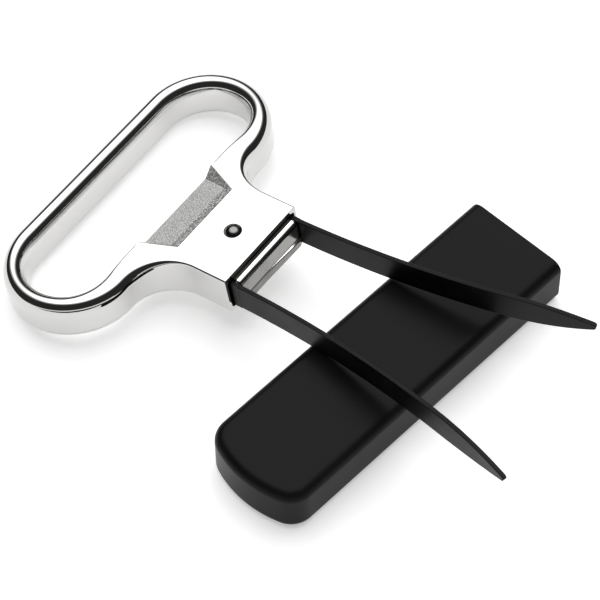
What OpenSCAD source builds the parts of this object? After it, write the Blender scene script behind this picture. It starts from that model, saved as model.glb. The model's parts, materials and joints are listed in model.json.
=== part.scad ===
// Two-prong cork puller, lying on its loop with the prongs across its sheath.
// The origin is the middle of the sheath's underside. The tool is drawn flat in its own frame:
// x runs to the prong tips, the mouth is at x = 0 and z = 0 is the middle of the body.
// at_tool() then tips it up until it rests on the sheath and on its own loop.

/* [Body] */
// Width of the body at the mouth
body_w = 24; // [20:0.5:30]
// Thickness of the body and of the loop
body_t = 9.7; // [9:0.1:13]
// Thickness of the plates above and below the mouth
plate_t = 1.1; // [0.8:0.1:1.5]
// Length of the hollow behind the mouth
mouth_depth = 13.2; // [12.5:0.1:14]
// Radius where the body's sides sweep out into the loop
sweep_r = 9.6; // [7:0.1:12]

/* [Finger loop] */
// Distance from the mouth back to the middle of the loop
loop_x = 32.8; // [32:0.1:42]
// Distance between the centres of the loop's two round ends
loop_span = 44; // [42:1:60]
// Inner radius of the loop's ends
loop_inner_r = 10.1; // [9:0.1:11]
// Width of the loop's bar seen from above
bar_w = 4.8; // [4:0.1:6]

/* [Cap lifter] */
// Half-width of the pocket at the loop
lifter_half_w = 12.5; // [10:0.1:13]
// Half-width of the pocket at its closed end
lifter_end_half_w = 9.1; // [6:0.1:9.5]
// Length of the pocket from the loop towards the mouth
lifter_len = 8.2; // [6:0.1:8.5]
// Depth where the ramp begins
lifter_step = 0.8; // [0.4:0.1:1.2]
// Depth of the ramp at the loop
lifter_depth = 2.2; // [1.5:0.1:3]

/* [Prongs] */
// Thickness of the spring strip
strip_t = 1; // [0.7:0.05:1.2]
// Width of the spring strip
strip_w = 6.4; // [5:0.1:6.6]
// Reach of the long prong beyond the mouth
long_reach = 73.9; // [60:0.5:90]
// Reach of the short prong beyond the mouth
short_reach = 68.6; // [54:0.5:84]
// Radius of the outward curve of each prong
prong_curve_r = 275; // [250:5:600]
// Outward lean of each prong where it leaves the block
prong_lean = 0.8; // [0:0.1:3]
// Length of the tapered tip
tip_len = 19; // [10:0.5:25]
// Radius of the rounded point
tip_r = 0.8; // [0.5:0.1:1.2]

/* [Rocking block] */
// How far the block stands out of the mouth
block_out = 2.1; // [1:0.1:3]
// Length of the block behind the mouth
block_in = 11; // [10:0.1:11.5]
// Radius along the block's top front edge
block_edge_r = 1.3; // [1:0.1:2.8]
// Rivet shank radius
rivet_r = 1.3; // [1:0.05:1.6]
// Distance of the rivet behind the mouth
rivet_x = 7.1; // [6:0.1:7.5]
// Rivet head radius
head_r = 1.95; // [1.8:0.05:2.4]
// Height of the domed head
head_h = 1.1; // [0.5:0.1:1.2]

/* [Sheath] */
// Overall length
sheath_len = 81; // [80:0.5:95]
// Outside width
sheath_w = 24.3; // [22:0.1:30]
// Outside height
sheath_h = 11.9; // [10:0.1:14]
// Wall thickness
sheath_wall = 1; // [0.8:0.1:1.5]
// Radius along the long edges
sheath_edge_r = 2.4; // [1:0.1:3]
// Radius of the closed end seen from above
sheath_end_r = 25; // [18:0.5:40]
// Radius of the closed end's shoulders, where it turns into the sides
sheath_shoulder_r = 15.9; // [14:0.1:18]
// Angle between the sheath and the tool
sheath_turn = 82.4; // [75:0.1:100]

/* [Pose] */
// Place of the mouth before the sheath's middle
tool_x = -33; // [-38:0.1:-30]
// Place of the mouth to one side of the sheath's middle
tool_y = 3.7; // [0:0.1:8]

/* [Fits] */
// Running gap around the rivet
rivet_gap = 0.05; // [0.02:0.01:0.1]
// Gap above and below the rocking block
block_gap = 0.2; // [0.1:0.05:0.3]
// Gap between a prong and the mouth's side wall
side_gap = 0.5; // [0.4:0.05:0.6]
// Gap between the prongs and the sheath they lie over
rest_gap = 0.35; // [0.25:0.05:0.5]
// Gap between a clamped strip and its free prong
root_gap = 0.05; // [0.03:0.01:0.1]

/* [Hidden] */
$fn = 96;
cut = 1;                                        // how far a cutter runs past a face
big = 100;                                      // side of the cubes that cut sloped faces
half_w = body_w / 2;
half_t = body_t / 2;
loop_outer_r = loop_inner_r + bar_w;
loop_front_x = -loop_x + loop_outer_r;          // the loop's outer line on the mouth's side
loop_edge_x = -loop_x + loop_inner_r;           // where the body meets the finger opening
bar_x = -loop_x - loop_inner_r - bar_w / 2;     // middle of the far bar
bar_r = bar_w / 2;
sweep_x = loop_front_x + sweep_r;
side_wall = plate_t * 0.66;
cavity_half_w = half_w - side_wall;
cavity_half_t = half_t - plate_t;
heel_y = cavity_half_w - side_gap - strip_t / 2;
block_half_w = heel_y - strip_t / 2;
block_half_t = cavity_half_t - block_gap;
block_corner_r = 0.7;
slit_z = -1.2;                                  // top of the slit between the block's halves
slit_gap = 0.04;
slit_open = 0.45;                               // how far the slit opens at one end
slit_start = -2;                                // where it starts to open
lifter_end_x = loop_edge_x + lifter_len;
lifter_bevel = 2;                               // run of the bevel at the closed end
side_slope = 45;                                // slope of the pocket's side walls

shoulder_x = sheath_shoulder_r - 0.7;           // the shoulders' circle runs 0.7 past the closed end

// The tool rests on the underside of the far bar and on the sheath's upper edge.
edge_y = tool_y - half_w;
edge_run = (edge_y - sheath_w / 2 * cos(sheath_turn)) / sin(sheath_turn);
edge_x = edge_run * cos(sheath_turn) - sheath_w / 2 * sin(sheath_turn);
rest_arm = edge_x + sheath_edge_r - tool_x - bar_x;
rest_rise = sheath_h + rest_gap - bar_r;
rest_drop = strip_w / 2 - (half_t - bar_r);
tilt = asin(rest_rise / norm([rest_arm, rest_drop])) + atan2(rest_drop, rest_arm);
tool_z = bar_r + (half_t - bar_r) * cos(tilt) - bar_x * sin(tilt);

module at_tool() {
    translate([tool_x, tool_y, tool_z]) rotate([0, -tilt, 0]) children();
}

module at_sheath() {
    rotate([0, 0, sheath_turn]) translate([-sheath_len / 2, 0, 0]) children();
}

// Rectangle centred on the origin with round corners
module round_rect(length, width, r) {
    square([length - 2 * r, width], center = true);
    square([length, width - 2 * r], center = true);
    for (sx = [-1, 1], sy = [-1, 1])
        translate([sx * (length / 2 - r), sy * (width / 2 - r)]) circle(r);
}

// Upright disc with rounded rims
module round_disc(radius, height, r) {
    rotate_extrude() {
        translate([0, -height / 2]) square([radius - r, height]);
        translate([0, r - height / 2]) square([radius, height - 2 * r]);
        for (side = [-1, 1]) translate([radius - r, side * (height / 2 - r)]) circle(r);
    }
}

// Everything on the far side of a plane through point, along the given heading and rise
module beyond(point, heading, rise) {
    translate(point) rotate([0, -rise, heading]) translate([0, -big / 2, -big / 2]) cube(big);
}

// Section of the loop's bar, standing upright and fully rounded above and below
module bar_section() {
    square([bar_w, body_t - bar_w], center = true);
    for (side = [-1, 1]) translate([0, side * (half_t - bar_r)]) circle(bar_r);
}

module loop_end(side) {
    translate([-loop_x, side * loop_span / 2, 0])
        rotate([0, 0, side > 0 ? 0 : 180])
            rotate_extrude(angle = 180) translate([loop_inner_r + bar_r, 0]) bar_section();
}

module loop_bar(x) {
    translate([x, loop_span / 2, 0]) rotate([90, 0, 0]) linear_extrude(loop_span) bar_section();
}

// Flat body seen from above, with its concave sweeps out to the loop's round bar
module body_plan() {
    flat_half_w = half_w + sweep_r * 0.65;
    difference() {
        translate([loop_edge_x, -flat_half_w]) square([-loop_edge_x, 2 * flat_half_w]);
        for (side = [-1, 1]) {
            translate([sweep_x, side * (half_w + sweep_r)]) circle(sweep_r);
            translate([sweep_x, side * (half_w + sweep_r) - sweep_r])
                square([-sweep_x + cut, 2 * sweep_r]);
        }
    }
}

// Pocket with a bevelled closed end, sloping sides and a ramp that deepens towards the loop
module lifter_pocket() {
    side_run = lifter_half_w - lifter_end_half_w;
    side_turn = atan2(side_run, lifter_len);
    ramp_x = lifter_end_x - lifter_bevel;
    bevel_rise = 90 - atan2(lifter_step, lifter_bevel);
    ramp_rise = 90 - atan2(lifter_depth - lifter_step, lifter_len - lifter_bevel);
    intersection() {
        beyond([lifter_end_x, 0, half_t], 180, bevel_rise);
        beyond([ramp_x, 0, half_t - lifter_step], 180, ramp_rise);
        beyond([lifter_end_x, lifter_end_half_w, half_t], -90 - side_turn, side_slope);
        beyond([lifter_end_x, -lifter_end_half_w, half_t], 90 + side_turn, side_slope);
        translate([loop_edge_x - cut, -half_w - sweep_r, 0]) cube([lifter_len + cut, big, big]);
    }
}

module handle() {
    color("#d9dadc") at_tool() difference() {
        union() {
            for (side = [-1, 1]) loop_end(side);
            loop_bar(bar_x);
            loop_bar(loop_front_x - bar_r);
            translate([0, 0, -half_t]) linear_extrude(body_t) body_plan();
        }
        translate([-mouth_depth, -cavity_half_w, -cavity_half_t])
            cube([mouth_depth + cut, 2 * cavity_half_w, 2 * cavity_half_t]);
        translate([-rivet_x, 0, -half_t - cut]) cylinder(r = rivet_r, h = body_t + 2 * cut);
        lifter_pocket();
    }
}

// Half of a domed rivet head, drawn to be spun about the y axis
module head_profile(height) {
    dome_r = (head_r * head_r + height * height) / (2 * height);
    intersection() {
        translate([0, height - dome_r]) circle(dome_r);
        square([head_r + cut, height + cut]);
    }
}

module pivot_rivet() {
    color("#b9bbbf") at_tool() translate([-rivet_x, 0, 0]) {
        translate([0, 0, -half_t]) cylinder(r = rivet_r, h = body_t);
        translate([0, 0, half_t]) rotate_extrude() head_profile(head_h);
        translate([0, 0, -half_t]) rotate([180, 0, 0]) rotate_extrude() head_profile(head_h / 2);
    }
}

// Block seen from above, with small round front corners
module block_plan() {
    difference() {
        translate([-block_in, -block_half_w])
            square([block_in + block_out, 2 * block_half_w]);
        for (side = [-1, 1]) translate([block_out - block_corner_r, side * block_half_w])
            difference() {
                translate([0, -block_corner_r]) square(2 * block_corner_r);
                translate([0, -side * block_corner_r]) circle(block_corner_r);
            }
    }
}

// Side view of the upper half: square at the back, large round at the top front
module carrier_side() {
    bend_x = block_out - block_edge_r;
    bend_z = block_half_t - block_edge_r;
    translate([-block_in, slit_z]) square([block_in + bend_x, block_half_t - slit_z]);
    translate([-block_in, slit_z]) square([block_in + block_out, bend_z - slit_z]);
    intersection() {
        translate([bend_x, bend_z]) circle(block_edge_r);
        translate([bend_x, slit_z]) square([block_edge_r + cut, block_half_t - slit_z]);
    }
}

module rivet_bore() {
    translate([-rivet_x, 0, -body_t]) cylinder(r = rivet_r + rivet_gap, h = 2 * body_t);
}

module prong_carrier() {
    color("#c4c6c9") at_tool() difference() {
        intersection() {
            translate([0, 0, -half_t]) linear_extrude(body_t) block_plan();
            translate([0, block_half_w + cut, 0]) rotate([90, 0, 0])
                linear_extrude(2 * block_half_w + 2 * cut) carrier_side();
        }
        rivet_bore();
    }
}

module clamp_plate() {
    slit_slope = atan2(slit_open, block_half_w - slit_start);
    color("#8f9194") at_tool() difference() {
        translate([0, 0, -block_half_t])
            linear_extrude(block_half_t + slit_z - slit_gap) block_plan();
        translate([0, slit_start, slit_z - slit_gap]) rotate([-slit_slope, 0, 0])
            translate([-big / 2, 0, 0]) cube([big, block_half_w - slit_start + cut, big]);
        rivet_bore();
    }
}

// Clamped ends of the two strips, one on each side of the block
module prong_heels() {
    color("#1c1c1d") at_tool() for (side = [-1, 1])
        translate([-block_in, side * heel_y - strip_t / 2, -strip_w / 2])
            cube([block_in + block_out, strip_t, strip_w]);
}

// Side view of a strip of the given length with its pointed, rounded tip
module strip_side(length) {
    round_x = length - tip_r;
    arch_x = length - tip_len;
    arch_run = round_x - arch_x;
    arch_r = (arch_run * arch_run + strip_w * strip_w / 4 - tip_r * tip_r) / (strip_w - 2 * tip_r);
    translate([0, -strip_w / 2]) square([arch_x, strip_w]);
    intersection() {
        translate([arch_x, arch_r - strip_w / 2]) circle(arch_r, $fn = 360);
        translate([arch_x, strip_w / 2 - arch_r]) circle(arch_r, $fn = 360);
        translate([arch_x - cut, -strip_w / 2]) square([round_x - arch_x + cut, strip_w]);
    }
    translate([round_x, 0]) circle(tip_r);
}

// Free part of a strip, drawn for the side with positive y and curving outwards
module blade(reach) {
    start = block_out + root_gap;
    bow = pow(reach - start, 2) / (2 * prong_curve_r);
    length = (reach - start + bow * sin(prong_lean)) / cos(prong_lean);
    translate([start, heel_y, 0]) rotate([0, 0, prong_lean]) intersection() {
        translate([0, prong_curve_r, -strip_w / 2]) difference() {
            cylinder(r = prong_curve_r + strip_t / 2, h = strip_w, $fn = 720);
            translate([0, 0, -cut])
                cylinder(r = prong_curve_r - strip_t / 2, h = strip_w + 2 * cut, $fn = 720);
        }
        translate([0, reach / 2, 0]) rotate([90, 0, 0])
            linear_extrude(reach) strip_side(length);
    }
}

module long_prong() {
    color("#1c1c1d") at_tool() mirror([0, 1, 0]) blade(long_reach);
}

module short_prong() {
    color("#1c1c1d") at_tool() blade(short_reach);
}

// Wide bar whose near end is the half of a round disc centred at middle_x
module arched_end(middle_x, radius, length, height, r) {
    translate([middle_x, 0, 0]) round_disc(radius, height, r);
    translate([middle_x, -sheath_w, -height / 2]) cube([length, 2 * sheath_w, height]);
}

// Solid bar with rounded edges and an arched closed end, drawn smaller by the inset all round
module sheath_form(inset, length) {
    width = sheath_w - 2 * inset;
    height = sheath_h - 2 * inset;
    r = max(sheath_edge_r - inset, 0.5);
    translate([0, 0, sheath_h / 2]) intersection() {
        rotate([90, 0, 90]) linear_extrude(length) round_rect(width, height, r);
        arched_end(sheath_end_r, sheath_end_r - inset, length, height, r);
        arched_end(shoulder_x, sheath_shoulder_r - inset, length, height, r);
    }
}

module sheath() {
    color("#1f1f20") at_sheath() difference() {
        sheath_form(0, sheath_len);
        sheath_form(sheath_wall, sheath_len + cut);
    }
}

handle();
pivot_rivet();
prong_carrier();
clamp_plate();
prong_heels();
long_prong();
short_prong();
sheath();
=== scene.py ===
import bpy
import json
import math
from mathutils import Matrix, Vector
from mathutils.geometry import delaunay_2d_cdt


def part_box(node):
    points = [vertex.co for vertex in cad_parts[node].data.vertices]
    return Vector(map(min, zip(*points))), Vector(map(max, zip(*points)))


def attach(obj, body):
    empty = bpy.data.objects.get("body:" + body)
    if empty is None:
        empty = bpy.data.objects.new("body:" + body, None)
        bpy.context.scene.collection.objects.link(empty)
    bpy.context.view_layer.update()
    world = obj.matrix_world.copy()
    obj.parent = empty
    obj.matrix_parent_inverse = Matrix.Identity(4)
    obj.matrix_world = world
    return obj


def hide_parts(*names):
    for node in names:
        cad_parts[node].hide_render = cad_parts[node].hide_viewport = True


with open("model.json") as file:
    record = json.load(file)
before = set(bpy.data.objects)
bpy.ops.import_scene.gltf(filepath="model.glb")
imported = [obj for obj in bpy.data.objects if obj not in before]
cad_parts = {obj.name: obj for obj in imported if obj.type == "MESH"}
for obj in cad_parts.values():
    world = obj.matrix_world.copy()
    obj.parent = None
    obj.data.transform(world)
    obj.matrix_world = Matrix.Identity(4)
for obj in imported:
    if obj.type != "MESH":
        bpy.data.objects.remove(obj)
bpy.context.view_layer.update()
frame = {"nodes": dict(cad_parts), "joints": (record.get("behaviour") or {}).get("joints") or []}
print("frame loaded:", len(frame["nodes"]), "nodes")

mm = 0.001
joints = {joint["name"]: joint for joint in frame["joints"]}


# ---- where things are: the tool is tipped up on its sheath, the sheath lies flat ----
# The tool's own axes come from the rocking joint, the sheath's from the joint it slides off on.
toolUp = Vector(joints["rocker_hinge"]["axis"]).normalized()
toolAlong = Vector((0, 1, 0)).cross(toolUp)
toolAcross = toolUp.cross(toolAlong)
rivetBack = 7.1 * mm                       # from the mouth back to the rivet
mouthPoint = Vector(joints["rocker_hinge"]["pos_m"]) + toolAlong * rivetBack
sheathAlong = -Vector(joints["sheath_slide"]["axis"]).normalized()
sheathAcross = Vector((0, 0, 1)).cross(sheathAlong)
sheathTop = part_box("sheath")[1].z


def axesMatrix(along, across, up, origin):
    turn = Matrix((along, across, up)).transposed().to_4x4()
    return Matrix.Translation(origin) @ turn


toolPlace = axesMatrix(toolAlong, toolAcross, toolUp, mouthPoint)
sheathPlace = axesMatrix(sheathAlong, sheathAcross, Vector((0, 0, 1)), Vector((0, 0, 0)))


# ---- camera ----
view = dict(azimuth=37.11, elevation=54.93, distance=0.5827, lens=167.7, roll=-0.9,
            target=(-0.02594, 0.00658, 0.0))


def makeCamera():
    azimuth = math.radians(view["azimuth"])
    elevation = math.radians(view["elevation"])
    back = Vector((math.sin(azimuth) * math.cos(elevation),
                   -math.cos(azimuth) * math.cos(elevation), math.sin(elevation)))
    data = bpy.data.cameras.new("camera")
    data.lens = view["lens"]
    data.sensor_width = 36
    data.clip_start = 0.01
    camera = bpy.data.objects.new("camera", data)
    camera.location = Vector(view["target"]) + back * view["distance"]
    roll = Matrix.Rotation(math.radians(view["roll"]), 4, "Z")
    camera.rotation_euler = (back.to_track_quat("Z", "Y").to_matrix().to_4x4() @ roll).to_euler()
    bpy.context.scene.collection.objects.link(camera)
    bpy.context.scene.camera = camera


makeCamera()
print("camera placed")


# ---- small sums ----
def cosSin(degrees):
    return math.cos(math.radians(degrees)), math.sin(math.radians(degrees))


def smooth(t):
    t = min(max(t, 0.0), 1.0)
    return t * t * (3 - 2 * t)


def line(start, end, count):
    return [start + (end - start) * i / count for i in range(count + 1)]


# ---- mesh helpers: a skin is a list of points, faces and one normal for each face corner ----
smallestArea = 1e-14         # faces smaller than this are left out
insideOnly = 1               # the triangulation keeps what lies inside the outline
nearness = 1e-6              # in millimetres
weldGrid = 2e6               # steps to the metre; points on the same step are one


def newSkin():
    return dict(points=[], faces=[], normals=[], slots=[])


def addFace(skin, corners, slot):
    # corners are (point, normal) pairs; the face is turned to look the way its normals do
    facing = sum((c[1] for c in corners), Vector())
    a, b, c = corners[0][0], corners[1][0], corners[-1][0]
    area = sum(((corners[i][0] - a).cross(corners[i + 1][0] - a)
                for i in range(1, len(corners) - 1)), Vector())
    if area.length < smallestArea:
        return
    if area.dot(facing) < 0:
        corners = corners[::-1]
    start = len(skin["points"])
    skin["points"] += [c[0] for c in corners]
    skin["normals"].append([c[1].normalized() for c in corners])
    skin["faces"].append(list(range(start, start + len(corners))))
    skin["slots"].append(slot)


def addGrid(skin, rows, slot=0, closed=False):
    # rows of (point, normal); neighbouring rows are joined by quads;
    # slot is one material slot, or one for each place along a row
    for upper, lower in zip(rows, rows[1:]):
        count = len(upper)
        for i in range(count if closed else count - 1):
            j = (i + 1) % count
            addFace(skin, [upper[i], upper[j], lower[j], lower[i]],
                    slot[i] if isinstance(slot, list) else slot)


def isInside(spot, ring):
    # counts the ring's sides that a level line from the spot crosses
    crossings = 0
    for a, b in zip(ring, ring[1:] + ring[:1]):
        if (a.y > spot.y) != (b.y > spot.y):
            crossings += spot.x < a.x + (b.x - a.x) * (spot.y - a.y) / (b.y - a.y)
    return crossings % 2 == 1


def addFlat(skin, rings, normal, slot=0):
    # rings are one outline and the holes in it; worked in millimetres, seen along the normal
    points = [p for ring in rings for p in ring]
    across = normal.orthogonal().normalized()
    up = normal.cross(across)
    flat = [Vector((p.dot(across), p.dot(up))) / mm for p in points]
    edges, shapes, first = [], [], 0
    for ring in rings:
        count = len(ring)
        edges += [(first + i, first + (i + 1) % count) for i in range(count)]
        shapes.append(flat[first:first + count])
        first += count
    spots, _, triangles, sources = delaunay_2d_cdt(flat, edges, [], insideOnly, nearness)[:4]
    base = normal * points[0].dot(normal)
    placed = [points[source[0]] if source else base + (across * spot.x + up * spot.y) * mm
              for spot, source in zip(spots, sources)]
    for triangle in triangles:
        centre = sum((spots[i] for i in triangle), Vector((0, 0))) / 3
        if not any(isInside(centre, hole) for hole in shapes[1:]):
            addFace(skin, [(placed[i], normal) for i in triangle], slot)


def buildPiece(name, skin, place, materials):
    # equal points are welded, so the piece is one closed surface with its own corner normals
    index, welded, faces, normals, slots = {}, [], [], [], []
    for face, faceNormals, slot in zip(skin["faces"], skin["normals"], skin["slots"]):
        ids, kept = [], []
        for corner, normal in zip(face, faceNormals):
            point = skin["points"][corner]
            key = tuple(round(v * weldGrid) for v in point)
            if key not in index:
                index[key] = len(welded)
                welded.append(place @ point)
            if index[key] not in ids:
                ids.append(index[key])
                kept.append(place.to_3x3() @ normal)
        if len(ids) > 2:
            faces.append(ids)
            normals += kept
            slots.append(slot)
    mesh = bpy.data.meshes.new(name)
    mesh.from_pydata(welded, [], faces)
    for material in materials:
        mesh.materials.append(material)
    mesh.polygons.foreach_set("material_index", slots)
    mesh.polygons.foreach_set("use_smooth", [True] * len(faces))
    mesh.normals_split_custom_set(normals)
    mesh.update()
    piece = bpy.data.objects.new(name, mesh)
    bpy.context.scene.collection.objects.link(piece)
    return piece


def standIn(piece, body, node):
    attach(piece, body)
    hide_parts(node)
    print("made", piece.name)


def edgeRows(samples, halfT, steps=12, tall=0.0):
    # samples are (x, y, nx, ny, topRadius, bottomRadius) along an outline seen from above;
    # each gives a row from the top face over the rounded edge and down to the bottom face;
    # tall makes a large top round taller than it is wide
    rows = []
    for x, y, nx, ny, topR, bottomR in samples:
        row = []
        for r, side, angles in ((topR, 1, line(90, 0, steps)), (bottomR, -1, line(0, 90, steps))):
            rise = r * (1 + tall * r / mm) if side > 0 else r
            for angle in angles:
                c, s = cosSin(angle)
                inset = r * (1 - c)
                normal = Vector((nx * c / r, ny * c / r, side * s / rise)).normalized()
                row.append((Vector((x - nx * inset, y - ny * inset, side * (halfT - rise + rise * s))),
                            normal))
        rows.append(row)
    return rows


def roundLoop(halfY, halfZ, r, x, sign, steps=6):
    # rounded rectangle standing across the tool; sign is 1 for outward normals, -1 for inward
    loop = []
    for cornerY, cornerZ, first in ((1, 1, 0), (-1, 1, 90), (-1, -1, 180), (1, -1, 270)):
        for angle in line(first, first + 90, steps):
            c, s = cosSin(angle)
            loop.append((Vector((x, cornerY * (halfY - r) + r * c, cornerZ * (halfZ - r) + r * s)),
                         Vector((0, sign * c, sign * s))))
    return loop


def addMouth(skin, rows, x, lip, halfY, halfZ, cavity, depth):
    # closes the open end of a slab with a rolled lip, a flat rim and a hollow behind it
    loop = rows[0] + rows[-1][::-1]
    forward = Vector((1, 0, 0))
    lips = []
    for angle in line(0, 90, 4):
        c, s = cosSin(angle)
        lips.append([(Vector((x - lip + lip * s, p.y * (1 - lip * (1 - c) / halfY),
                              p.z * (1 - lip * (1 - c) / halfZ))),
                      (n * c + forward * s)) for p, n in loop])
    addGrid(skin, lips, closed=True)
    inner = roundLoop(cavity[0] + lip, cavity[1] + lip, cavity[2] + lip, x, -1)
    addFlat(skin, [[p for p, n in lips[-1]], [p for p, n in inner]], forward)
    throat = []
    for angle in line(90, 0, 4):
        c, s = cosSin(angle)
        throat.append([(Vector((x - lip + lip * s, p.y - math.copysign(lip * c, p.y),
                                p.z - math.copysign(lip * c, p.z))), n * c + forward * s)
                       for p, n in inner])
    throat.append([(Vector((x - depth, p.y, p.z)), n) for p, n in
                   roundLoop(cavity[0], cavity[1], cavity[2], x, -1)])
    addGrid(skin, throat, closed=True)
    addFlat(skin, [[p for p, n in throat[-1]]], forward)


# ---- shader groups used by more than one material ----
def newGroup(name, inputs, outputs):
    group = bpy.data.node_groups.new(name, "ShaderNodeTree")
    for label, value in inputs:
        socket = group.interface.new_socket(name=label, in_out="INPUT", socket_type="NodeSocketFloat")
        socket.default_value = value
    for label, kind in outputs:
        group.interface.new_socket(name=label, in_out="OUTPUT", socket_type=kind)
    return group, group.nodes.new("NodeGroupInput"), group.nodes.new("NodeGroupOutput")


def addNode(tree, kind, **settings):
    node = tree.nodes.new(kind)
    for key, value in settings.items():
        setattr(node, key, value)
    return node


def noiseNode(tree, vector, scaleSocket, detail, roughness):
    noise = addNode(tree, "ShaderNodeTexNoise")
    noise.inputs["Detail"].default_value = detail
    noise.inputs["Roughness"].default_value = roughness
    tree.links.new(vector, noise.inputs["Vector"])
    if scaleSocket is not None:
        tree.links.new(scaleSocket, noise.inputs["Scale"])
    return noise


def rangeNode(tree, value, low, high, toLow, toHigh):
    # any of the four limits may be a number or a socket
    node = addNode(tree, "ShaderNodeMapRange")
    tree.links.new(value, node.inputs["Value"])
    for label, limit in (("From Min", low), ("From Max", high), ("To Min", toLow), ("To Max", toHigh)):
        if isinstance(limit, (int, float)):
            node.inputs[label].default_value = limit
        else:
            tree.links.new(limit, node.inputs[label])
    return node.outputs["Result"]


def makeHandlingGroup():
    # polished or painted metal after use: soft smudges, hairline scratches, faint dust
    group, source, sink = newGroup(
        "handlingMarks",
        [("Smudge Scale", 90.0), ("Hair Scale", 900.0), ("Rough Low", 0.04), ("Rough High", 0.1)],
        [("Roughness", "NodeSocketFloat"), ("Height", "NodeSocketFloat"), ("Dust", "NodeSocketFloat")])
    place = addNode(group, "ShaderNodeTexCoord")
    smudge = noiseNode(group, place.outputs["Object"], source.outputs["Smudge Scale"], 4, 0.6)
    stretch = addNode(group, "ShaderNodeMapping")
    stretch.inputs["Scale"].default_value = (0.12, 1, 1)
    stretch.inputs["Rotation"].default_value = (0, 0, 0.6)
    group.links.new(place.outputs["Object"], stretch.inputs["Vector"])
    hair = noiseNode(group, stretch.outputs["Vector"], source.outputs["Hair Scale"], 3, 0.7)
    roughness = rangeNode(group, smudge.outputs["Fac"], 0.35, 0.7,
                          source.outputs["Rough Low"], source.outputs["Rough High"])
    fine = rangeNode(group, hair.outputs["Fac"], 0.55, 0.75, 0.0, 1.0)
    dust = rangeNode(group, smudge.outputs["Fac"], 0.5, 0.8, 0.0, 1.0)
    group.links.new(roughness, sink.inputs["Roughness"])
    group.links.new(fine, sink.inputs["Height"])
    group.links.new(dust, sink.inputs["Dust"])
    return group


def makeGrainGroup():
    # fine even grain, such as moulded plastic or a blasted floor
    group, source, sink = newGroup(
        "fineGrain",
        [("Grain Scale", 3000.0), ("Patch Scale", 60.0), ("Rough Low", 0.4), ("Rough High", 0.5)],
        [("Roughness", "NodeSocketFloat"), ("Height", "NodeSocketFloat"), ("Patch", "NodeSocketFloat")])
    place = addNode(group, "ShaderNodeTexCoord")
    cells = addNode(group, "ShaderNodeTexVoronoi")
    group.links.new(place.outputs["Object"], cells.inputs["Vector"])
    group.links.new(source.outputs["Grain Scale"], cells.inputs["Scale"])
    patch = noiseNode(group, place.outputs["Object"], source.outputs["Patch Scale"], 3, 0.55)
    height = rangeNode(group, cells.outputs["Distance"], 0.0, 0.7, 1.0, 0.0)
    roughness = rangeNode(group, patch.outputs["Fac"], 0.3, 0.7,
                          source.outputs["Rough Low"], source.outputs["Rough High"])
    soft = rangeNode(group, patch.outputs["Fac"], 0.3, 0.75, 0.0, 1.0)
    group.links.new(roughness, sink.inputs["Roughness"])
    group.links.new(height, sink.inputs["Height"])
    group.links.new(soft, sink.inputs["Patch"])
    return group


handlingMarks = makeHandlingGroup()
fineGrain = makeGrainGroup()


def newMaterial(name, group, values):
    material = bpy.data.materials.new(name)
    material.use_nodes = True
    tree = material.node_tree
    tree.nodes.clear()
    shader = addNode(tree, "ShaderNodeBsdfPrincipled")
    output = addNode(tree, "ShaderNodeOutputMaterial")
    tree.links.new(shader.outputs["BSDF"], output.inputs["Surface"])
    effect = addNode(tree, "ShaderNodeGroup", node_tree=group)
    for label, value in values.items():
        effect.inputs[label].default_value = value
    return material, tree, shader, effect


def mixColour(tree, mask, low, high, target):
    mix = addNode(tree, "ShaderNodeMix", data_type="RGBA")
    mix.inputs["A"].default_value = (*low, 1)
    mix.inputs["B"].default_value = (*high, 1)
    tree.links.new(mask, mix.inputs["Factor"])
    tree.links.new(mix.outputs["Result"], target)


def bumpNode(tree, height, target, strength, distance):
    bump = addNode(tree, "ShaderNodeBump")
    bump.inputs["Strength"].default_value = strength
    bump.inputs["Distance"].default_value = distance
    tree.links.new(height, bump.inputs["Height"])
    tree.links.new(bump.outputs["Normal"], target)


def metal(name, look):
    values = {"Smudge Scale": look["smudge"], "Hair Scale": look["hair"],
              "Rough Low": look["rough"][0], "Rough High": look["rough"][1]}
    material, tree, shader, effect = newMaterial(name, handlingMarks, values)
    shader.inputs["Metallic"].default_value = look.get("metallic", 1.0)
    if "specular" in look:
        shader.inputs["Specular IOR Level"].default_value = look["specular"]
    mixColour(tree, effect.outputs["Dust"], look["colour"], look["dulled"], shader.inputs["Base Color"])
    tree.links.new(effect.outputs["Roughness"], shader.inputs["Roughness"])
    bumpNode(tree, effect.outputs["Height"], shader.inputs["Normal"], look["bump"], look["depth"])
    return material


def grained(name, look):
    values = {"Grain Scale": look["grain"], "Patch Scale": look["patch"],
              "Rough Low": look["rough"][0], "Rough High": look["rough"][1]}
    material, tree, shader, effect = newMaterial(name, fineGrain, values)
    shader.inputs["Metallic"].default_value = look.get("metallic", 0.0)
    if "specular" in look:
        shader.inputs["Specular IOR Level"].default_value = look["specular"]
    mixColour(tree, effect.outputs[look.get("mask", "Patch")], look["colour"], look["light"],
              shader.inputs["Base Color"])
    tree.links.new(effect.outputs["Roughness"], shader.inputs["Roughness"])
    bumpNode(tree, effect.outputs["Height"], shader.inputs["Normal"], look["bump"], look["depth"])
    return material


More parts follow.
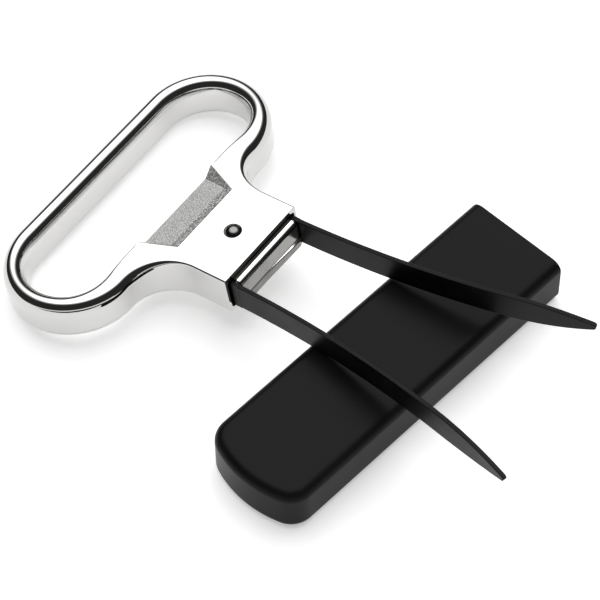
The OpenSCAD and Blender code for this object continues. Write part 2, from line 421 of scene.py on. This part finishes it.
chromeLook = dict(colour=(0.6, 0.597, 0.588), dulled=(0.565, 0.562, 0.553), rough=(0.035, 0.075),
                  smudge=70.0, hair=1400.0, bump=0.03, depth=0.00001)
rivetLook = dict(colour=(0.2, 0.198, 0.194), dulled=(0.11, 0.109, 0.106), rough=(0.1, 0.22),
                 smudge=420.0, hair=2200.0, bump=0.35, depth=0.00004)
blockLook = dict(colour=(0.3, 0.295, 0.285), dulled=(0.22, 0.216, 0.21), rough=(0.14, 0.26),
                 smudge=160.0, hair=1800.0, bump=0.12, depth=0.00002)
# painted shade: near-black steel that stands in for the shade on the carrier's top face and the start
# of its fold
paintedShadeLook = dict(colour=(0.035, 0.033, 0.03), dulled=(0.07, 0.066, 0.06), rough=(0.2, 0.35),
                 smudge=260.0, hair=1800.0, bump=0.12, depth=0.00002)
plateLook = dict(colour=(0.24, 0.236, 0.23), dulled=(0.18, 0.177, 0.172), rough=(0.25, 0.4),
                 smudge=160.0, hair=1500.0, bump=0.2, depth=0.00003)
springLook = dict(colour=(0.0025, 0.0025, 0.0026), dulled=(0.006, 0.006, 0.006), rough=(0.3, 0.42),
                  smudge=120.0, hair=1600.0, bump=0.12, depth=0.00002, metallic=0.0, specular=0.14)
rampLook = dict(colour=(0.48, 0.476, 0.468), light=(1.0, 0.995, 0.985), rough=(0.38, 0.5),
                grain=2800.0, patch=220.0, bump=1.0, depth=0.0002, metallic=0.15, mask="Height")
bevelLook = dict(colour=(0.34, 0.337, 0.33), light=(1.0, 0.99, 0.98), rough=(0.26, 0.36),
                 grain=2400.0, patch=220.0, bump=0.8, depth=0.00015, metallic=0.6, mask="Height")
# painted highlight: near-white steel that stands in for the bright band on the carrier's fold and on
# the clamp plate's chamfer at the slit
paintedHighlightLook = dict(colour=(0.82, 0.815, 0.805), dulled=(0.7, 0.695, 0.685), rough=(0.12, 0.24),
                smudge=300.0, hair=1800.0, bump=0.15, depth=0.00002)
sheathLook = dict(colour=(0.0058, 0.0058, 0.006), light=(0.0085, 0.0085, 0.0087), rough=(0.3, 0.4),
                  grain=3600.0, patch=45.0, bump=0.16, depth=0.00003, specular=0.08)

chrome = metal("polishedChrome", chromeLook)
rivetChrome = metal("rivetChrome", rivetLook)
blockSteel = metal("blockSteel", blockLook)
paintedShadeSteel = metal("paintedShadeSteel", paintedShadeLook)
plateSteel = metal("plateSteel", plateLook)
springBlack = metal("springBlack", springLook)
rampGrain = grained("rampGrain", rampLook)
bevelGrain = grained("bevelGrain", bevelLook)
paintedHighlightSteel = metal("paintedHighlightSteel", paintedHighlightLook)
sheathPlastic = grained("sheathPlastic", sheathLook)
print("materials made")


# ---- handle: finger loop and flat body in one casting ----
handle = dict(width=24 * mm, thick=9.7 * mm, sweep=9.6 * mm, loopX=32.8 * mm, span=44 * mm,
              innerR=10.1 * mm, bar=4.8 * mm,
              edge=0.55 * mm,             # small round along the body's edges
              underEdge=0.9 * mm,         # larger round below
              crown=0.03 * mm,            # half the flat left along the top of the loop's bar
              growFrom=96,                # degrees round the sweep where the edges start to grow
              tall=0.18, lip=0.12 * mm, wall=0.726 * mm, plate=1.1 * mm, hollow=13.2 * mm,
              hollowR=0.6 * mm)
opening = dict(corner=0.12 * mm, sharp=0.45 * mm,          # edge beside the pocket, then past it
               sharpRun=1.5 * mm, roundFrom=4 * mm, roundRun=16 * mm, lowest=0.4)
pocket = dict(halfW=12.5 * mm, endHalfW=9.1 * mm, length=8.2 * mm, step=0.8 * mm, depth=2.2 * mm,
              bevel=2.0 * mm, rim=0.16 * mm, rimDrop=0.05 * mm)


def handleOutline():
    # from the near side of the mouth, round the loop, to the far side of the mouth
    h = handle
    halfW, r = h["width"] / 2, h["sweep"]
    outerR = h["innerR"] + h["bar"]
    full = h["bar"] / 2 - h["crown"]
    frontX = -h["loopX"] + outerR
    sweepX = frontX + r
    half = []
    for x in line(-h["lip"], sweepX, 10):
        half.append((x, -halfW, 0, -1, h["edge"], h["underEdge"]))
    for angle in line(90, 180, 44)[1:]:
        c, s = cosSin(angle)
        grow = smooth((angle - h["growFrom"]) / (180 - h["growFrom"]))
        half.append((sweepX + r * c, -halfW - r + r * s, -c, -s,
                     h["edge"] + (full - h["edge"]) * grow,
                     h["underEdge"] + (full - h["underEdge"]) * grow))
    for angle in line(0, 180, 90):
        c, s = cosSin(angle)
        half.append((-h["loopX"] + outerR * c, -h["span"] / 2 - outerR * s, c, -s, full, full))
    mirrored = [(x, -y, nx, -ny, a, b) for x, y, nx, ny, a, b in reversed(half)]
    return half, mirrored


def openingOutline():
    # round the finger opening, starting and ending at the pocket's near corner;
    # the edges turn from crisp to fully round with the distance run from that corner
    h = handle
    r, edgeX = h["innerR"], -h["loopX"] + h["innerR"]
    full = h["bar"] / 2 - h["crown"]
    o = opening
    half = []

    def add(x, y, nx, ny, run):
        start = o["corner"] + (o["sharp"] - o["corner"]) * smooth(run / o["sharpRun"])
        grow = smooth((run - o["roundFrom"]) / o["roundRun"])
        half.append((x, y, nx, ny, start + (full - start) * grow,
                     full * (o["lowest"] + (1 - o["lowest"]) * grow)))

    for y in line(pocket["halfW"], h["span"] / 2, 14):
        add(edgeX, y, -1, 0, y - pocket["halfW"])
    for angle in line(0, 180, 90)[1:]:
        c, s = cosSin(angle)
        add(-h["loopX"] + r * c, h["span"] / 2 + r * s, -c, -s,
            h["span"] / 2 - pocket["halfW"] + r * math.radians(angle))
    return half, [(x, -y, nx, -ny, a, b) for x, y, nx, ny, a, b in reversed(half)]


def makeHandle():
    skin = newSkin()
    halfT = handle["thick"] / 2
    near, far = handleOutline()
    outer = edgeRows(near + far, halfT, tall=handle["tall"])
    addGrid(skin, outer)
    upper, lower = openingOutline()
    inner = edgeRows(upper + lower, halfT, tall=handle["tall"])
    addGrid(skin, inner)
    up, down = Vector((0, 0, 1)), Vector((0, 0, -1))

    # corners of the cap-lifter pocket, seen from above, and of its floor
    edgeX = -handle["loopX"] + handle["innerR"]
    endX = edgeX + pocket["length"]
    rampX = endX - pocket["bevel"]
    widening = (pocket["halfW"] - pocket["endHalfW"]) / pocket["length"]
    slant = math.hypot(1, widening)
    rampHalfW = pocket["endHalfW"] + widening * pocket["bevel"]
    openHalfW = pocket["halfW"] - pocket["depth"] * slant
    corners = {}
    for side in (-1, 1):
        corners[side] = dict(
            open=inner[0][0][0].copy() if side > 0 else inner[-1][0][0].copy(),
            end=Vector((endX, side * pocket["endHalfW"], halfT - pocket["rimDrop"])),
            rim=Vector((endX + pocket["rim"], side * (pocket["endHalfW"] + pocket["rim"]), halfT)),
            ramp=Vector((rampX, side * (rampHalfW - pocket["step"] * slant), halfT - pocket["step"])),
            foot=Vector((edgeX, side * openHalfW, halfT - pocket["depth"])))

    topHole = [row[0][0] for row in inner] + [corners[-1]["rim"], corners[1]["rim"]]
    addFlat(skin, [[row[0][0] for row in outer], topHole], up)
    near, far = corners[-1], corners[1]
    wallTop = [inner[0][0][0], far["foot"], near["foot"], inner[-1][0][0]]

    def plane(points, slot):
        normal = (points[1] - points[0]).cross(points[2] - points[0]).normalized()
        if normal.z < 0:
            normal = -normal
        addFlat(skin, [points], normal, slot)

    plane([near["foot"], near["ramp"], far["ramp"], far["foot"]], 1)
    plane([near["ramp"], near["end"], far["end"], far["ramp"]], 2)
    plane([near["end"], near["rim"], far["rim"], far["end"]], 0)
    for side in (near, far):
        plane([side["open"], side["end"], side["ramp"], side["foot"]], 2)
        plane([side["open"], side["rim"], side["end"]], 0)

    # wall of the finger opening under the ramp
    steps = 24
    ys = line(pocket["halfW"], -pocket["halfW"], steps)
    flat = openingOutline()[0][0]
    wallRows = edgeRows([(edgeX, y, -1, 0, flat[4], flat[5]) for y in ys], halfT,
                        tall=handle["tall"])
    half = len(wallRows[0]) // 2
    back = Vector((-1, 0, 0))
    addGrid(skin, [row[half:] for row in wallRows])
    downEdge = [p for p, n in inner[-1][1:half]]
    upEdge = [p for p, n in reversed(inner[0][1:half])]
    addFlat(skin, [wallTop + downEdge + [row[half][0] for row in reversed(wallRows)] + upEdge],
            back)
    bottomHole = [row[-1][0] for row in inner] + [row[-1][0] for row in reversed(wallRows[1:-1])]
    addFlat(skin, [[row[-1][0] for row in outer], bottomHole], down)
    addMouth(skin, outer, 0, handle["lip"], handle["width"] / 2, halfT,
             (handle["width"] / 2 - handle["wall"], halfT - handle["plate"], handle["hollowR"]),
             handle["hollow"])
    piece = buildPiece("handleCasting", skin, toolPlace, [chrome, rampGrain, bevelGrain])
    standIn(piece, "tool_body", "handle")


makeHandle()


# ---- rivet ----
rivet = dict(headR=1.95 * mm, headH=1.1 * mm, backH=0.55 * mm, shankR=1.3 * mm)


def domeRows(height, sign, base, steps=14, around=48):
    r = rivet["headR"]
    ball = (r * r + height * height) / (2 * height)
    last = math.asin(r / ball)
    rows = []
    for i in range(steps + 1):
        angle = last * i / steps
        ring = []
        for k in range(around):
            turn = 2 * math.pi * k / around
            out = Vector((math.cos(turn), math.sin(turn), 0))
            normal = out * math.sin(angle) + Vector((0, 0, sign * math.cos(angle)))
            rise = ball * (math.cos(angle) - math.cos(last))
            middle = Vector((-rivetBack, 0, base + sign * rise))
            ring.append((middle + out * ball * math.sin(angle), normal))
        rows.append(ring)
    return rows


def makeRivet():
    skin = newSkin()
    halfT = handle["thick"] / 2
    top = domeRows(rivet["headH"], 1, halfT)
    bottom = domeRows(rivet["backH"], -1, -halfT)
    for rows in (top, bottom):
        addGrid(skin, rows, closed=True)
    shank = []
    for z in (halfT, -halfT):
        shank.append([(Vector((-rivetBack + rivet["shankR"] * (n.x / max(n.xy.length, 1e-9)),
                               rivet["shankR"] * (n.y / max(n.xy.length, 1e-9)), z)),
                       Vector((n.x, n.y, 0))) for p, n in top[-1]])
    addGrid(skin, shank, closed=True)
    for rows, ring, normal in ((top, shank[0], (0, 0, -1)), (bottom, shank[1], (0, 0, 1))):
        addFlat(skin, [[p for p, n in rows[-1]], [p for p, n in ring]], Vector(normal))
    piece = buildPiece("pivotRivet", skin, toolPlace, [rivetChrome])
    standIn(piece, "tool_body", "pivot_rivet")


makeRivet()


# ---- rocking block: folded upper half and the plate clamped under it ----
block = dict(front=2.1 * mm, back=11 * mm, halfW=9.785 * mm, halfH=3.55 * mm, fold=1.3 * mm,
             slitZ=-1.2 * mm, slitGap=0.04 * mm, slitOpen=0.45 * mm, slitStart=-2 * mm,
             slitLip=0.35 * mm,           # how far the plate's edge stands out where the slit is widest
             lipDrop=0.45, lipInset=0.35, lipSlope=25,
             corner=0.7 * mm, soft=0.25 * mm, softSteps=4, foldSteps=20)


def barRows(path, halfW, r, steps=8):
    # path is (x, z, nx, nz) seen from the side; the ends of the bar are rounded by r
    rows = []
    for side, angles in ((-1, line(90, 0, steps)), (1, line(0, 90, steps))):
        for angle in angles:
            c, s = cosSin(angle)
            inset = r * (1 - c)
            rows.append([(Vector((x - nx * inset, side * (halfW - r + r * s), z - nz * inset)),
                          Vector((nx * c, side * s, nz * c))) for x, z, nx, nz in path])
    return rows


def cornerPath(cx, cz, r, first, last, steps):
    turns = [cosSin(angle) for angle in line(first, last, steps)]
    return [(cx + r * c, cz + r * s, c, s) for c, s in turns]


def makeCarrier():
    b, soft, steps = block, block["soft"], block["softSteps"]
    path = cornerPath(-b["back"] + soft, b["slitZ"] + soft, soft, 270, 180, steps)
    path += cornerPath(-b["back"] + soft, b["halfH"] - soft, soft, 180, 90, steps)
    fold = len(path)
    # the painted highlight ends half way round the fold
    paintedHighlightEnd = fold + b["foldSteps"] // 2
    path += cornerPath(b["front"] - b["fold"], b["halfH"] - b["fold"], b["fold"], 90, 0, b["foldSteps"])
    path += cornerPath(b["front"] - soft, b["slitZ"] + soft, soft, 0, -90, steps)
    skin = newSkin()
    rows = barRows(path, b["halfW"], b["corner"])
    # painted shade on the top face and the start of the fold (dark steel), then a painted highlight
    # over the next half of the fold (bright steel)
    slots = [1 if i in (fold - 1, fold) else 2 if fold < i < paintedHighlightEnd else 0 for i in range(len(path))]
    addGrid(skin, rows, slots, closed=True)
    addFlat(skin, [[p for p, n in rows[0]]], Vector((0, -1, 0)))
    addFlat(skin, [[p for p, n in rows[-1]]], Vector((0, 1, 0)))
    piece = buildPiece("foldedCarrier", skin, toolPlace, [blockSteel, paintedShadeSteel, paintedHighlightSteel])
    standIn(piece, "rocker", "prong_carrier")


def makeClampPlate():
    b, soft, steps = block, block["soft"], block["softSteps"]
    top = b["slitZ"] - b["slitGap"]
    path = cornerPath(-b["back"] + soft, -b["halfH"] + soft, soft, 270, 180, steps)
    upperBack = len(path)
    path += cornerPath(-b["back"] + soft, top - soft, soft, 180, 90, steps)
    upperFront = len(path)
    path += cornerPath(b["front"] - soft, top - soft, soft, 90, 0, steps)
    lowerFront = len(path)
    path += cornerPath(b["front"] - soft, -b["halfH"] + soft, soft, 0, -90, steps)
    skin = newSkin()
    length = b["halfW"] - b["slitStart"]
    fall = b["slitOpen"] / length
    rows = barRows(path, b["halfW"], b["corner"])
    middle = len(rows) // 2
    between = []
    for i in range(1, 24):
        t = i / 24
        between.append([(p.lerp(q, t), n) for (p, n), (q, m) in zip(rows[middle - 1], rows[middle])])
    rows = rows[:middle] + between + rows[middle:]
    c, s = cosSin(b["lipSlope"])
    chamfer = Vector((s, 0, c))
    opened = []
    for row in rows:
        ring = []
        for i, (p, n) in enumerate(row):
            run = max(0.0, p.y - b["slitStart"])
            spread = min(1.0, run / length)
            x, y, z = p.x, p.y, p.z
            if upperBack <= i < lowerFront:
                z -= run * fall
            if i > upperFront:
                x += b["slitLip"] * spread
                y -= b["slitLip"] * b["lipInset"] * spread        # clear of the prong beside it
            if upperFront < i < lowerFront:
                z -= b["slitLip"] * b["lipDrop"] * spread
            ring.append((Vector((x, y, z)), chamfer if i in (upperFront, upperFront + 1) else n))
        opened.append(ring)
    rows = opened
    # the chamfer along the slit, slot 1, carries the painted highlight
    addGrid(skin, rows, [1 if i == upperFront else 0 for i in range(len(path))], closed=True)
    addFlat(skin, [[p for p, n in rows[0]]], Vector((0, -1, 0)))
    addFlat(skin, [[p for p, n in rows[-1]]], Vector((0, 1, 0)))
    piece = buildPiece("clampPlate", skin, toolPlace, [plateSteel, paintedHighlightSteel])
    standIn(piece, "rocker", "clamp_plate")


makeCarrier()
makeClampPlate()


# ---- spring prongs ----
strip = dict(thick=1.0 * mm, width=6.4 * mm, curve=275 * mm, lean=0.8, heelY=10.274 * mm,
             start=2.15 * mm, tip=19 * mm, tipR=0.8 * mm, edge=0.16 * mm,
             longReach=73.9 * mm, shortReach=68.6 * mm)


def tipHalfWidth(x, length):
    # straight strip, then two long arcs that meet in a small round point
    half, tipR = strip["width"] / 2, strip["tipR"]
    roundX, archX = length - tipR, length - strip["tip"]
    run = roundX - archX
    archR = (run * run + half * half - tipR * tipR) / (2 * half - 2 * tipR)
    if x <= archX:
        return half
    if x <= roundX:
        return math.sqrt(archR ** 2 - (x - archX) ** 2) - archR + half
    return math.sqrt(max(tipR ** 2 - (x - roundX) ** 2, 0))


def makeProng(name, reach, side, body, node):
    s = strip
    bow = (reach - s["start"]) ** 2 / (2 * s["curve"])
    lean = math.radians(s["lean"])
    length = (reach - s["start"] + bow * math.sin(lean)) / math.cos(lean)
    xs = line(0, length - s["tip"], 40) + line(length - s["tip"], length - s["tipR"], 36)[1:]
    xs += [length - s["tipR"] + s["tipR"] * math.sin(math.radians(a)) for a in line(0, 88, 12)][1:]
    turn = Matrix.Rotation(lean, 3, "Z")
    rows = []
    for x in xs:
        slope = x / math.sqrt(s["curve"] ** 2 - x * x)
        out = Vector((-slope, 1, 0)).normalized()
        middle = Vector((x, s["curve"] - math.sqrt(s["curve"] ** 2 - x * x), 0))
        half = tipHalfWidth(x, length)
        r = min(s["edge"], half * 0.9)
        row = []
        for cy, cz, first in ((1, 1, 0), (-1, 1, 90), (-1, -1, 180), (1, -1, 270)):
            for angle in line(first, first + 90, 4):
                c, n = cosSin(angle)
                offset = cy * (s["thick"] / 2 - r) + r * c
                point = middle + out * offset + Vector((0, 0, cz * (half - r) + r * n))
                row.append((point, out * c + Vector((0, 0, n))))
        placed = []
        for point, normal in row:
            point = turn @ point + Vector((s["start"], s["heelY"], 0))
            normal = turn @ normal
            placed.append((Vector((point.x, side * point.y, point.z)),
                           Vector((normal.x, side * normal.y, normal.z))))
        rows.append(placed)
    skin = newSkin()
    addGrid(skin, rows, closed=True)
    addFlat(skin, [[p for p, n in rows[0]]], Vector((-1, 0, 0)))
    addFlat(skin, [[p for p, n in rows[-1]]], Vector((1, 0, 0)))
    piece = buildPiece(name, skin, toolPlace, [springBlack])
    standIn(piece, body, node)


makeProng("longProng", strip["longReach"], -1, "long_blade", "long_prong")
makeProng("shortProng", strip["shortReach"], 1, "short_blade", "short_prong")
heels = frame["nodes"]["prong_heels"]
for index in range(len(heels.data.materials)):
    heels.data.materials[index] = springBlack
print("prong heels painted")


# ---- sheath ----
sheath = dict(length=81 * mm, width=24.3 * mm, height=sheathTop, edge=2.4 * mm, endR=25 * mm,
              shoulder=5.5 * mm, wall=1.0 * mm, lip=0.25 * mm, innerR=1.4 * mm,
              endWall=6 * mm)             # left solid at the rounded end


def sheathOutline():
    s = sheath
    halfL, halfW, r, k = s["length"] / 2, s["width"] / 2, s["endR"], s["shoulder"]
    archX = -halfL + r
    shoulderX = archX - math.sqrt((r - k) ** 2 - (halfW - k) ** 2)
    last = math.degrees(math.atan2(halfW - k, archX - shoulderX))
    half = [(x, -halfW, 0, -1, s["edge"], s["edge"]) for x in line(halfL - s["lip"], shoulderX, 30)]
    for angle in line(90, last, 16)[1:]:
        c, n = cosSin(angle)
        half.append((shoulderX - k * c, -(halfW - k) - k * n, -c, -n, s["edge"], s["edge"]))
    for angle in line(last, 0, 24)[1:]:
        c, n = cosSin(angle)
        half.append((archX - r * c, -r * n, -c, -n, s["edge"], s["edge"]))
    return half + [(x, -y, nx, -ny, a, b) for x, y, nx, ny, a, b in reversed(half[:-1])]


def makeSheath():
    s = sheath
    skin = newSkin()
    halfH = s["height"] / 2
    rows = edgeRows(sheathOutline(), halfH)
    addGrid(skin, rows)
    addFlat(skin, [[row[0][0] for row in rows]], Vector((0, 0, 1)))
    addFlat(skin, [[row[-1][0] for row in rows]], Vector((0, 0, -1)))
    addMouth(skin, rows, s["length"] / 2, s["lip"], s["width"] / 2, halfH,
             (s["width"] / 2 - s["wall"] - s["lip"], halfH - s["wall"] - s["lip"], s["innerR"]),
             s["length"] - s["endWall"])
    piece = buildPiece("sheathMoulding", skin, sheathPlace @ Matrix.Translation((0, 0, halfH)),
                       [sheathPlastic])
    standIn(piece, "cover", "sheath")


makeSheath()


# ---- floor, soft light overhead and a dark horizon for the chrome to show ----
studio = dict(floor=(0.9, 0.9, 0.9), floorSize=3.0, floorRough=0.7, floorGloss=0.1, glow=0.45,
              lean=20.0, dark=0.03, strip=1.1, wall=0.28, haze=0.84, white=2.4,
              bands=((0.0, "dark"), (0.4, "dark"), (0.42, "strip"), (0.455, "strip"),
                     (0.475, "dark"), (0.83, "dark"), (0.865, "wall"), (0.9, "haze"),
                     (0.93, "white"), (1.0, "white")))


def makeFloor():
    size = studio["floorSize"]
    mesh = bpy.data.meshes.new("floor")
    corners = [(-size, -size, 0), (size, -size, 0), (size, size, 0), (-size, size, 0)]
    mesh.from_pydata(corners, [], [(0, 1, 2, 3)])
    floor = bpy.data.objects.new("floor", mesh)
    bpy.context.scene.collection.objects.link(floor)
    material = bpy.data.materials.new("paleFloor")
    material.use_nodes = True
    shader = material.node_tree.nodes["Principled BSDF"]
    shader.inputs["Base Color"].default_value = (*studio["floor"], 1)
    shader.inputs["Roughness"].default_value = studio["floorRough"]
    shader.inputs["Specular IOR Level"].default_value = studio["floorGloss"]
    shader.inputs["Emission Color"].default_value = (1, 1, 1, 1)
    shader.inputs["Emission Strength"].default_value = studio["glow"]
    mesh.materials.append(material)


def makeWorld():
    # a white tent leaning away from the camera, with a dark room and one strip light before it
    world = bpy.data.worlds.new("studio")
    bpy.context.scene.world = world
    world.use_nodes = True
    tree = world.node_tree
    tree.nodes.clear()
    azimuth, lean = math.radians(view["azimuth"]), math.radians(studio["lean"])
    place = addNode(tree, "ShaderNodeTexCoord")
    along = addNode(tree, "ShaderNodeVectorMath", operation="DOT_PRODUCT")
    along.inputs[1].default_value = (-math.sin(azimuth) * math.sin(lean),
                                     math.cos(azimuth) * math.sin(lean), math.cos(lean))
    ramp = addNode(tree, "ShaderNodeValToRGB")
    background = addNode(tree, "ShaderNodeBackground")
    output = addNode(tree, "ShaderNodeOutputWorld")
    tree.links.new(place.outputs["Generated"], along.inputs[0])
    tree.links.new(rangeNode(tree, along.outputs["Value"], -1.0, 1.0, 0.0, 1.0), ramp.inputs["Fac"])
    tree.links.new(ramp.outputs["Color"], background.inputs["Color"])
    tree.links.new(background.outputs["Background"], output.inputs["Surface"])
    elements = ramp.color_ramp.elements
    while len(elements) < len(studio["bands"]):
        elements.new(0.5)
    for element, (position, band) in zip(elements, studio["bands"]):
        value = studio[band]
        element.position = position
        element.color = (value, value, value, 1)


makeFloor()
makeWorld()
bpy.context.scene.view_settings.view_transform = "Standard"
print("studio lit")
